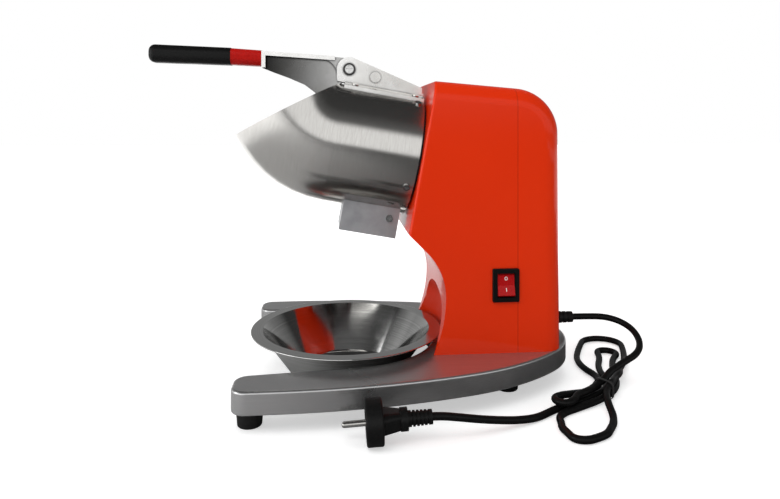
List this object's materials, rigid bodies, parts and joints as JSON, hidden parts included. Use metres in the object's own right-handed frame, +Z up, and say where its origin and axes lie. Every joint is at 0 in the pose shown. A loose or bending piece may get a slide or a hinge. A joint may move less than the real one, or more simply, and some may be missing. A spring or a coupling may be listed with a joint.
{
  "type": "electric ice shaver",
  "caption": "Electric ice shaver: tilted steel hopper with a press lever, motor housing, horseshoe base, chute and a lift-out bowl.",
  "frame": {"origin": "on the table, under the middle of the object's box without its cord", "axes": "+X to the rear, where the cord leaves; +Z up; -Y is the switch side; the hopper's mouth and the lever's grip point to -X"},
  "size_m": [0.5164, 0.3085, 0.3372],
  "materials": {
    "silver_paint": "satin silver enamel on a casting",
    "sheet_steel": "plain rolled sheet",
    "black_rubber": "matt moulded rubber",
    "zinc_steel": "bright plated fasteners",
    "orange_paint": "glossy orange-red enamel",
    "brushed_stainless": "stainless sheet brushed around the tube",
    "polished_stainless": "polished stainless with spun lines",
    "cast_aluminium": "tumbled aluminium casting",
    "black_gasket": "matt sheet gasket",
    "grey_sheet": "satin grey sheet metal",
    "ground_steel": "ground steel",
    "core_steel": "stacked sheet with varnish",
    "enamelled_copper": "enamelled wire, lacquered",
    "bronze": "oiled bronze",
    "black_grip": "satin dipped vinyl",
    "red_sleeve": "dipped red vinyl",
    "black_plastic": "moulded black plastic",
    "red_rocker": "glossy tinted red moulding",
    "brass": "stamped tabs",
    "black_cord": "satin extruded sheath",
    "black_tie": "plastic covered wire",
    "black_plug": "moulded plug with a fine grain",
    "nickel_plate": "nickel plated brass"
  },
  "bodies": {
    "stand": {"base_casting": "silver_paint", "base_cover": "sheet_steel", "bracket_rivets": "cast_aluminium", "cheek_pin": "cast_aluminium", "cheek_spacer": "zinc_steel", "chute_screws": "zinc_steel", "chute_tabs": "brushed_stainless", "cord_hank": "black_cord", "cord_lead": "black_cord", "cord_tail": "black_cord", "cord_tie": "black_tie", "discharge_chute": "grey_sheet", "flange_gasket": "black_gasket", "flange_screws": "zinc_steel", "foot_front_left": "black_rubber", "foot_front_right": "black_rubber", "foot_rear_left": "black_rubber", "foot_rear_right": "black_rubber", "foot_screws": "zinc_steel", "front_bearing": "ground_steel", "hinge_bracket": "cast_aluminium", "hopper_flange": "cast_aluminium", "hopper_screws": "zinc_steel", "hopper_tube": "brushed_stainless", "housing_screws": "zinc_steel", "housing_shell": "orange_paint", "motor_bolts": "zinc_steel", "motor_front_bell": "cast_aluminium", "motor_rear_bell": "cast_aluminium", "pivot_bolt": "zinc_steel", "pivot_nut": "zinc_steel", "plug_body": "black_plug", "plug_earth_clips": "nickel_plate", "plug_pins": "nickel_plate", "rear_bearing": "ground_steel", "shaft_seal": "black_rubber", "stator_core": "core_steel", "stator_windings": "enamelled_copper", "strain_relief": "black_rubber", "switch_bezel": "black_plastic", "switch_terminals": "brass"},
    "lever": {"lever_arm": "cast_aluminium", "pivot_bush": "bronze", "pusher_plate": "cast_aluminium", "pusher_bolts": "zinc_steel", "lever_grip": "black_grip", "grip_collar": "red_sleeve"},
    "rotor": {"motor_shaft": "ground_steel", "blade_disc": "cast_aluminium", "shaving_blades": "polished_stainless", "blade_screws": "zinc_steel", "disc_nut": "zinc_steel", "cooling_fan": "black_plastic", "rotor_core": "core_steel"},
    "rocker": {"switch_rocker": "red_rocker"},
    "bowl": {"bowl": "polished_stainless"}
  },
  "joints": [
    {"name": "lever_hinge", "type": "hinge", "parent": "stand", "child": "lever", "pos_m": [-0.0125, 0, 0.3125], "axis": [0, 1, 0], "range_deg": [0, 100]},
    {"name": "blade_spin", "type": "hinge", "parent": "stand", "child": "rotor", "pos_m": [0.0554, 0, 0.223], "axis": [0.9842, 0, -0.1771], "continuous": true},
    {"name": "rocker_tilt", "type": "hinge", "parent": "stand", "child": "rocker", "pos_m": [0.1357, -0.0625, 0.103], "axis": [1, 0, 0], "range_deg": [0, 18]},
    {"name": "bowl_slide", "type": "slide", "parent": "stand", "child": "bowl", "axis": [-1, 0, 0], "range_m": [0, 0.26]}
  ]
}
